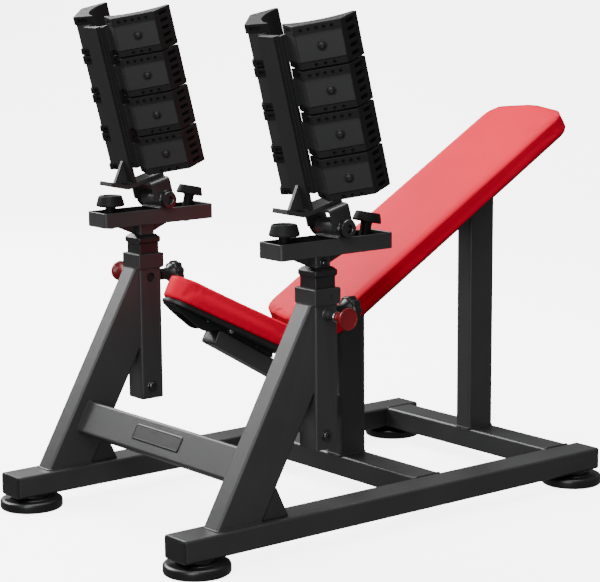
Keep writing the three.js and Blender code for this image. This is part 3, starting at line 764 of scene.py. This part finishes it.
def build_seat_bracket():
    start_x, top_z = SEAT_TUBE_FRONT
    front_x, rear_x = 218, 480.5

    def tube_top(x):
        return top_z + (x - start_x) * math.tan(math.radians(SEAT_TUBE_ANGLE))

    lower = filleted([(front_x, seat_under(front_x, 3)), (241, 467), (293, 423.6), (338.2, 423.6)], 14)
    side = lower + [(start_x, tube_top(start_x) + 0.4), (rear_x, tube_top(rear_x) + 0.4),
                    (rear_x, seat_under(rear_x, 0.4)), (front_x, seat_under(front_x, 0.4))]
    keel = soften(prism("keel", side, -24, 24), 1.6, 3)
    hollow_side = [(236, seat_under(236, 6)), (322, seat_under(322, 6)), (322, 400), (236, 400)]
    recess = prism("recess", hollow_side, -18, 18)
    placed("seat_bracket_body", carved(keel, recess), "frame", "dark", ("seat_bracket",))
    for i, (x, y) in enumerate(((300, -24.2), (430, -24.2), (300, 24.2), (430, 24.2))):
        spot = (x, y, (seat_under(x, 0) + max(tube_top(x), top_z if x < start_x else 0)) / 2 - 1)
        bolt = button_bolt(spot, (0, math.copysign(1, y), 0), 3.4)
        placed(f"seat_bracket_bolt_{i + 1}", bolt, "frame", "bolt")
    c, s = heading(SEAT_PLANE[2])
    for i, y in enumerate((-36, 36)):
        spot = on_plane([(170, y)], SEAT_PLANE, 60.9)[0]
        placed(f"seat_nut_{i + 1}", hex_bolt(spot, (s, 0, -c), 11, 4, 8), "frame", "chrome")


# ---------- masts
def build_masts():
    tube = hollow("mast", 60, 60, (MAST_X, 0, 211), (MAST_X, 0, 553), X, 6)
    hole = rod(10.8, (MAST_X, 0, PIN_Z), Y, 20, 40, 32)
    pin_hole = rod(5.6, (MAST_X, 0, PIN_Z), Y, -40, -20)
    screw_hole = rod(5.6, (MAST_X, 0, CLAMP_Z), X, 20, 40)
    pair("upright", carved(tube, hole, pin_hole, screw_hole), "frame", "steel", "upright")
    rings = [(60.4, 521), (69, 521), (70, 521.8), (70, 550), (69.4, 551.6), (67.8, 552.7), (65.6, 553),
             (60.4, 553)]
    loops = [mapped(rounded_rect(size, size, max(1.2, 4 - (70 - size) / 2)), (MAST_X, 0, z), X, Y)
             for size, z in rings]
    slot = merged("slot", rod(3.0, (MAST_X + 9, 0, 536.5), Y, -40, -33, 16),
                  rod(2.0, (MAST_X + 10, 0, 531), Y, -40, -33, 12))
    pair("mast_collar", carved(loft("collar", loops, cyclic=True), slot), "frame", "steel")
    rim = rect_path(66, 66, (MAST_X, 0, 520.6), X, Y, 6)
    pair("weld_collar", weld(rim, 1.8, closed=True), "frame", "steel")
    housing = [(5.7, -29.4), (13.6, -29.4), (13.4, -30.6), (12.0, -31.8), (11.0, -34), (10.7, -38),
               (10.2, -41), (8.6, -43.5), (8.2, -46), (8.2, -62.6), (7.6, -63.4), (5.7, -63.4)]
    ring = [(8.3, -59.8), (10.6, -59.8), (11.2, -60.4), (11.2, -62.8), (10.6, -63.4), (8.3, -63.4)]
    for name, profile, finish in (("plunger_housing", housing, "steel"), ("plunger_ring", ring, "chrome")):
        mesh = lathe(name, profile[::-1] + [profile[-1]], (MAST_X, 0, PIN_Z), Y)
        pair(name, mesh, "frame", finish)
    nut = [(5.8, 29.6), (11.0, 29.6), (11.6, 30.4), (11.6, 41.2), (10.8, 42), (5.8, 42)]
    pair("clamp_nut", lathe("nut", nut, (MAST_X, 0, CLAMP_Z), X, 6), "frame", "steel")
    pair("mast_bolt", button_bolt((MAST_X - 3, -30, 240.5), -Y, 9.5, 13), "frame", "bolt")
    pair("mast_bolt_inner", button_bolt((MAST_X - 3, 30, 240.5), Y, 9.5, 13), "frame", "bolt")
    sleeve = [(40.6, 515), (53.6, 515), (53.6, 576), (55, 577.4), (59.8, 579.4), (61, 581.2), (61, 588.6),
              (60, 590.4), (46, 596.2), (43.5, 597), (40.6, 597)]
    loops = [mapped(rounded_rect(size, size, max(1.2, 5 - (61 - size) / 5)), (MAST_X, 0, z), X, Y)
             for size, z in sleeve]
    pair("guide_sleeve", loft("sleeve", loops, cyclic=True), "frame", "plastic", "guide_sleeve", smooth=50)


def build_knobs():
    stem = [(5, -28.4), (5, -64.6), (9.2, -64.8), (9.8, -66), (9.8, -68.5), (8.8, -69.5), (8.8, -70.5),
            (9.8, -71.5), (10, -75), (10.8, -80), (13, -86), (17.4, -91.4), (21.4, -94.2), (22.9, -95.6),
            (23.3, -97.2), (23.3, -100.6), (22.8, -101.9), (21.6, -102.4), (20.6, -102.1), (20.0, -101.4),
            (8, -101.2)]
    knob = lathe("knob", stem, (MAST_X, 0, PIN_Z), Y, 56)
    pair("pull_knob", knob, "pin", "red_plastic", "pin_knob")
    turns = 96
    rings = []
    for size, x in ((0.80, 446.4), (0.93, 447.2), (1.0, 449.4), (1.0, 465.2), (0.95, 467.4), (0.84, 468.0),
                    (0.6, 467.6), (0.5, 466.6)):
        loop = []
        for i in range(turns):
            t = 2 * math.pi * i / turns
            r = (29 - 1.7 * (1 + math.cos(9 * t)) * (size > 0.7)) * size
            loop.append((x, r * math.cos(t), CLAMP_Z + r * math.sin(t)))
        rings.append(loop)
    hub = [(5, 398.2), (5, 412.6), (12.6, 412.8), (13, 414), (13.4, 428), (16, 438), (22, 446.6)]
    knob = merged("knob", loft("grip", rings), lathe("hub", hub, (0, 0, CLAMP_Z), X, 40))
    pair("clamp_knob", knob, "clamp", "plastic", "clamp_knob")


# ---------- lifts
def build_lifts():
    tube = hollow("lift", 39.6, 39.6, (MAST_X, 0, 230), (MAST_X, 0, 621.8), X, 4.5)
    holes = [rod(5.5, (MAST_X, 0, PIN_Z - 40 * i), Y, -30, -10, 24) for i in range(6)]
    pair("lift_tube", carved(tube, *holes), "lift", "steel", "lift_tube")
    for name, side in (("front", -1), ("rear", 1)):
        wing = ((70, 621.8), (19.9, 621.8), (19.9, 598.2), (24, 598.2), (70, 617.5))
        points = [(MAST_X + side * d, z) for d, z in wing]
        pair(f"tray_wing_{name}", soften(prism("wing", points, -2.5, 2.5), 0.6), "lift", "steel")
    pair("lift_bolt", button_bolt((MAST_X + 1.5, -19.8, 605.8), -Y, 7.6, 11.4), "lift", "bolt")
    levels = [(1.2, 622), (0, 622.8), (0, 655.2), (0.9, 656), (3.9, 656), (4.8, 655.2), (4.8, 628),
              (6.4, 626.8)]
    loops = [mapped(rounded_rect(300 - 2 * i, TUBE_WIDE - 2 * i, max(1.5, 7 - i)), (395, 0, z), X, Y)
             for i, z in levels]
    pair("tray", loft("tray", loops), "lift", "steel", "tray")
    for name, x in (("front", 283.5), ("rear", 492.3)):
        pair(f"tray_bolt_{name}", hex_bolt((x, 0, 622), -Z, 13, 5, 10), "lift", "bolt")
    bumper = [(11, 626.9), (12.2, 627.6), (12.2, 665), (13.4, 667.2), (16, 668), (29.8, 668), (31.6, 668.8),
              (32.3, 670.6), (32.0, 673), (27.4, 689.4), (26.4, 691.4), (24.6, 692), (22.6, 691.2),
              (20.6, 689.6), (15, 688.4), (6.5, 688.2), (6.2, 686.8), (3.2, 686.6)]
    pair("bumper_front", lathe("bumper", bumper, (283.5, 0, 0), Z, 64), "lift", "rubber", "front_bumper")
    c, s = heading(90 - 12.4)
    head = [(10.8, -57), (11.8, -56), (11.8, -7), (13, -4.6), (15, -4), (28.6, -4), (30.4, -3.2), (31, -1.6),
            (30.6, 0.6), (26.6, 14.2), (25.4, 16.4), (23.8, 17), (21.8, 16), (20, 14.6), (15, 13.4),
            (6.5, 13.2), (6.2, 11.8), (3.2, 11.6)]
    tilted = lathe("head", head, (504.3, 0, 681.6), (c, 0, s), 64)
    tilted = sliced(tilted, (0, 0, 626.9), (0, 0, -1))
    pair("bumper_rear", tilted, "lift", "rubber", "rear_bumper")
    barrel = [(8.6, -38), (17.6, -38), (19, -36.8), (19, 36.8), (17.6, 38), (8.6, 38)]
    loops = []
    for radius, y in barrel:
        turn = [2 * math.pi * i / 56 for i in range(56)]
        loops.append([(PIVOT.x + radius * math.cos(t), y, PIVOT.z + radius * math.sin(t)) for t in turn])
    saddle = prism("saddle", [(397.5, 656.1), (423.5, 656.1), (419.5, 668), (401.5, 668)], -37.8, 37.8)
    pair("pivot_barrel", loft("barrel", loops, cyclic=True), "lift", "steel", "pivot_barrel")
    pair("barrel_saddle", soften(saddle, 0.8), "lift", "steel")
    for name, x in (("front", 396.6), ("rear", 424.4)):
        pair(f"weld_saddle_{name}", weld([(x, -37, 656.8), (x, 37, 656.8)], 2.0), "lift", "steel")
    rim = rect_path(40, 40, (MAST_X, 0, 621.2), X, Y, 4)
    pair("weld_tray", weld(rim, 1.9, closed=True), "lift", "steel")


# ---------- cradles
LEAN_C, LEAN_S = heading(CRADLE_LEAN)
ACROSS_U, UP_S = Vector((LEAN_C, 0, LEAN_S)), Vector((-LEAN_S, 0, LEAN_C))
CRADLE_ORIGIN = Vector((MAST_X, 0, CRADLE_Z))


def cradle_point(u, w, t):
    return CRADLE_ORIGIN + ACROSS_U * u + Y * w - UP_S * t


def layer(name, points, top, bottom):
    """An outline in u and w, from t = top down to t = bottom."""
    return loft(name, [[cradle_point(u, w, t) for u, w in points] for t in (bottom, top)])


def heel_u(w):
    return HEEL[0] + (BACK_CORNER[0] - HEEL[0]) * (w - HEEL[1]) / (BACK_CORNER[1] - HEEL[1])


def facet(share, out=0.0):
    """A point (u, w) on a pad's main facet, moved outwards."""
    u = BACK_CORNER[0] + (SIDE_CORNER[0] - BACK_CORNER[0]) * share
    w = BACK_CORNER[1] + (SIDE_CORNER[1] - BACK_CORNER[1]) * share
    return u - out * math.sqrt(0.5), w + out * math.sqrt(0.5)


RECESS, TAB_REACH = 4.0, 0.97


def turned_tab(outer, inner, top, bottom, reach=TAB_REACH, start=28.5):
    """The bent tab behind a pad's face: its heel lies along the pad's heel and its end is set back."""
    path = [(heel_u(start), start), facet(0, -RECESS), facet(reach, -RECESS)]
    return layer("tab", strip(path, outer, inner), top, bottom)


def pad_mesh():
    """One rubber pad of the +w wing at the top row, with its pocket, dimples, vents and side pockets."""
    heel = HEEL[1] + 4
    radius, centre = 120.8, 10.67
    start = math.atan2(LIP[1], LIP[0] - centre)
    end = math.atan2(heel, heel_u(heel) + 3 - centre)
    arc = [start + (end - start) * i / 22 for i in range(23)]
    inner = [(centre + radius * math.cos(a), radius * math.sin(a)) for a in arc]
    outer = filleted([(heel_u(heel), heel), BACK_CORNER, SIDE_CORNER, TIP], 2.5, 3)
    block = soften(layer("pad", outer + inner, 0.0, PAD_HEIGHT), 1.5, 3, 55)
    stub = [(-136, 28.2), (heel_u(28.2) + 0.6, 28.2), (heel_u(38) + 0.6, 38.4), (-136, 38.4)]
    cutters = [turned_tab(8, -4.3, 18.6, 75.4, TAB_REACH + 0.004, 28.2), layer("stub", stub, 18.6, 75.4)]
    normal = (ACROSS_U * -1 + Y) * math.sqrt(0.5)
    upper, lower = (0.15, 0.31, 0.47, 0.63, 0.79), (0.33, 0.52, 0.71)
    for t, shares in ((10.2, upper), (82.4, lower)):
        for share in shares:
            cutters.append(dimple(share, t, normal))
    side = Vector((TIP[0] - SIDE_CORNER[0], TIP[1] - SIDE_CORNER[1])).normalized()
    out = Vector((-side.y, side.x))
    for t in (10.2, 26.6, 43, 59.4, 75.8):
        cutters.append(pocket(SIDE_CORNER, side, out, 15, 43, t, 4.1, 6.5))
    run = Vector((BACK_CORNER[0] - HEEL[0], BACK_CORNER[1] - HEEL[1])).normalized()
    away = Vector((-run.y, run.x))
    for t in (9.6, 82.0):
        cutters.append(pocket(HEEL, run, away, 22, 50, t, 3.4, 4.2))
    return carved(block, *cutters)


def dimple(share, t, normal):
    """Half-moon dimple with a sloping floor."""
    centre = cradle_point(*facet(share, 1), t)
    drill = lathe("dimple", [(3.6, -4.2), (3.6, 1)], centre, normal, 16)
    lean = Matrix.Rotation(math.radians(24), 4, UP_S)
    drill.transform(Matrix.Translation(centre) @ lean @ Matrix.Translation(-centre))
    return drill


def pocket(corner, along, out, start, end, t, half, deep):
    """Tapered hollow in a side face: a slot whose floor rises from one end to the other."""
    points = []
    for a, d in ((start, 3.0), (end, 3.0), (end, -deep), (start + 6, -deep), (start, -0.2)):
        p = Vector(corner) + along * a + out * d
        points.append((p.x, p.y))
    return layer("pocket", points, t - half, t + half)


def lowered(mesh, row):
    mesh = mesh.copy()
    mesh.transform(Matrix.Translation(UP_S * (-PAD_PITCH * row)))
    return mesh


def across(mesh):
    """Mirror image in the cradle's middle plane."""
    mesh = mesh.copy()
    mesh.transform(Matrix.Diagonal((1, -1, 1, 1)))
    mesh.flip_normals()
    return mesh


def build_pads():
    block = pad_mesh()
    bolt = button_bolt(cradle_point(*facet(0.513, -RECESS), 47), (ACROSS_U * -1 + Y), 8.6, 10.6)
    plate = soften(turned_tab(0, -3.9, 19, 75), 0.7)
    fold = cradle_point(*facet(0.003, -RECESS + 0.6), 0)
    plate = carved(plate, rod(1.5, fold, -UP_S, 10, 80, 8))
    for row in range(PAD_ROWS):
        for side, sign in SIDES:
            for wing, out in (("outer", sign), ("inner", -sign)):
                name = f"{side}_{wing}_{row + 1}"
                turn = across if out < 0 else (lambda m: m)
                place = {"body": f"{side}_cradle", "shift": sign * SIDE_Y}
                placed(f"rubber_pad_{name}", turn(lowered(block, row)), finish="rubber",
                       nodes=(f"pad_{name}",), **place)
                placed(f"tab_{name}", turn(lowered(plate, row)), finish="dark", **place)
                placed(f"tab_bolt_{name}", turn(lowered(bolt, row)), finish="dark", **place)


def build_spine():
    """A flat bar with a comb-shaped plate on its front, whose teeth are the bent tabs."""
    back, front, half, edge, comb_half = -139.0, -129.5, 25.4, -124.5, 38.0
    bar = layer("bar", [(back, -half), (front, -half), (front, half), (back, half)], 19, 384.6)
    twin("spine_bar", soften(bar, 0.9), "dark", "spine")
    outline = [(front, -comb_half), (edge, -comb_half), (edge, comb_half), (front, comb_half)]
    comb = layer("comb", outline, 19.2, 350)
    twin("spine_comb", soften(comb, 0.7), "dark")
    neck = [(edge - 2, 28.6), (heel_u(28.6) + 3.4, 28.6), (heel_u(38) + 3.4, 37.9), (heel_u(38), 37.9),
            (edge - 2, 37.9)]
    for row in range(PAD_ROWS):
        root = layer("neck", neck, 19 + PAD_PITCH * row, 75 + PAD_PITCH * row)
        twin(f"tab_neck_{row + 1}", merged("necks", root, across(root)), "dark")
    for name, w in (("near", -half - 0.4), ("far", half + 0.4)):
        seam = [cradle_point(front - 1.0, w, t) for t in range(24, 348, 12)]
        twin(f"weld_comb_{name}", weld(seam, 1.7), "dark")


def xz(u, t):
    p = cradle_point(u, 0, t)
    return p.x, p.z


def build_brackets():
    under, thick, half, web = 395.0, 10.0, 24.5, -139.3
    bend = xz(-154, under)
    c, s = heading(12.7)
    nose = (bend[0] - 49.5 * c, bend[1] + 49.5 * s)
    path = filleted([nose, bend, xz(-52, under)], 7)
    plate = soften(prism("plate", strip(path, thick, 0), -half, half), 0.9, 2, 60)
    twin("cradle_plate", plate, "steel", "cradle_bracket")
    top = offset(path, thick)[0]
    foot_x, foot_z = top[0] + 22 * c, top[1] - 22 * s
    gusset = [xz(web, 331), xz(web, under - 6), (foot_x + 0.4, foot_z - 4), (foot_x, foot_z - 0.4)]
    twin("cradle_gusset", soften(prism("gusset", gusset, -4.8, 4.8), 0.8), "steel")
    heel_x, heel_z = xz(web - 1, under - thick - 0.6)
    for side, w in (("near", -5.2), ("far", 5.2)):
        seam = [(foot_x + 4, w, foot_z - 0.6), (heel_x, w, heel_z)]
        twin(f"weld_gusset_{side}", weld(seam, 1.8), "steel")
    twin("cradle_clevis", clevis(), "steel")
    root = [cradle_point(-139.8, w, under - thick - 0.4) for w in (-20, 20)]
    twin("weld_spine_back", weld(root, 2.2), "steel")
    head = [(8, 44.9), (23, 44.9), (23, 46.4), (22.4, 47), (20.2, 47), (20, 47.2), (20, 52.6), (18.6, 55),
            (15.6, 56), (9.4, 56), (8.6, 55.2), (8.4, 49.6), (4.6, 49.6)]
    bolt = [(radius, -along) for radius, along in reversed(head)] + head
    twin("pivot_bolt", lathe("bolt", bolt, PIVOT, Y, 48), "bolt", "pivot_bolt")


def clevis():
    """Inverted U over the pivot barrel, bent from plate, with round ears."""
    inner, outer_half, round_r = 38.6, 44.5, 20.0
    pivot_u = (PIVOT.x - MAST_X) * LEAN_C + (PIVOT.z - CRADLE_Z) * LEAN_S
    pivot_t = (PIVOT.x - MAST_X) * LEAN_S - (PIVOT.z - CRADLE_Z) * LEAN_C
    top, low = 394.6, pivot_t + 30
    front_u, rear_u = -103.5, -52.5
    section = [(-outer_half, -low), (-outer_half, -top), (outer_half, -top), (outer_half, -low)]
    wrap = strip(filleted(section, 10, 6), 0, -(outer_half - inner))
    body = loft("clevis", [[cradle_point(u, w, -z) for w, z in wrap] for u in (front_u, rear_u)])
    ear = [(front_u, -(top - 5)), (front_u, -(pivot_t - 6)), (pivot_u - round_r, -pivot_t)]
    ear += [(pivot_u + round_r * math.cos(a), -pivot_t + round_r * math.sin(a))
            for a in [math.pi + math.pi * i / 18 for i in range(19)]]
    ear += [(rear_u, -(top - 5))]
    window = loft("window", [[cradle_point(u, w, -z) for u, z in ear] for w in (-60, 60)])
    body = carved(body, window, operation="INTERSECT")
    body = carved(body, rod(8.3, PIVOT, Y, -60, 60, 32))
    return soften(body, 0.9, 2, 50)


# ---------- floor, lights, camera
def build_stage():
    """A floor that curves up into a back wall, turned to face the camera."""
    size, bend, wall, steps = 9.0, 2.2, 9.0, 12
    fold = size * 0.55
    rows = [(-size, 0.0), (fold, 0.0)]
    for i in range(1, steps + 1):
        angle = math.pi / 2 * i / steps
        rows.append((fold + bend * math.sin(angle), bend - bend * math.cos(angle)))
    rows.append((fold + bend, wall))
    bm = bmesh.new()
    verts = [[bm.verts.new((along, *row)) for along in (-size * 1.6, size * 1.6)] for row in rows]
    for a, b in zip(verts, verts[1:]):
        bm.faces.new((a[0], a[1], b[1], b[0]))
    mesh = bpy.data.meshes.new("studio_floor")
    bm.to_mesh(mesh)
    bm.free()
    mesh.transform(Matrix.Rotation(math.radians(-39), 4, "Z"))
    for polygon in mesh.polygons:
        polygon.use_smooth = True
    floor = bpy.data.objects.new("studio_floor", mesh)
    bpy.context.scene.collection.objects.link(floor)
    material, _, bsdf = shader("studio_paper", (0.93, 0.93, 0.93), 0.9)
    bsdf.inputs["Emission Color"].default_value = (1, 1, 1, 1)
    bsdf.inputs["Emission Strength"].default_value = 5.0
    mesh.materials.append(material)
    floor.visible_glossy = False
    floor.visible_diffuse = False


def add_light(name, place, target, size, power):
    data = bpy.data.lights.new(name, "AREA")
    data.shape = "RECTANGLE"
    data.size, data.size_y = size
    data.energy = power
    lamp = bpy.data.objects.new(name, data)
    bpy.context.scene.collection.objects.link(lamp)
    lamp.location = place
    lamp.rotation_euler = (Vector(target) - Vector(place)).to_track_quat("-Z", "Y").to_euler()


def build_lights():
    world = bpy.data.worlds.new("studio")
    bpy.context.scene.world = world
    world.use_nodes = True
    world.node_tree.nodes["Background"].inputs["Color"].default_value = (1, 1, 1, 1)
    world.node_tree.nodes["Background"].inputs["Strength"].default_value = 0.20
    add_light("sheen", (-0.8, 4.2, 3.4), (0, 0, 0.5), (5.0, 2.4), 450)
    add_light("key", (-3.2, -2.2, 3.6), (0, 0, 0.5), (2.5, 2.0), 120)
    add_light("top", (0.2, 0.6, 4.2), (0, 0, 0.4), (3.0, 3.0), 190)
    add_light("edge", (-4.9, -3.6, 1.0), (0, 0, 0.5), (0.8, 1.6), 100)


def build_camera():
    data = bpy.data.cameras.new("camera")
    data.sensor_width = 36
    data.lens = 121.128
    data.shift_x, data.shift_y = -0.066667, 0.074667
    camera = bpy.data.objects.new("camera", data)
    bpy.context.scene.collection.objects.link(camera)
    camera.location = ORIGIN + Vector((-2.2297, -3.5483, 1.2468))
    camera.rotation_euler = [math.radians(angle) for angle in (79.1019, 0.2262, -39.5475)]
    bpy.context.scene.camera = camera


make_materials()
build_rails()
build_crossmembers()
build_legs()
build_front_crossmember()
build_posts()
build_seat_tube()
build_seat_bracket()
build_cushions()
build_masts()
build_knobs()
build_lifts()
build_pads()
build_spine()
build_brackets()
build_stage()
build_lights()
build_camera()
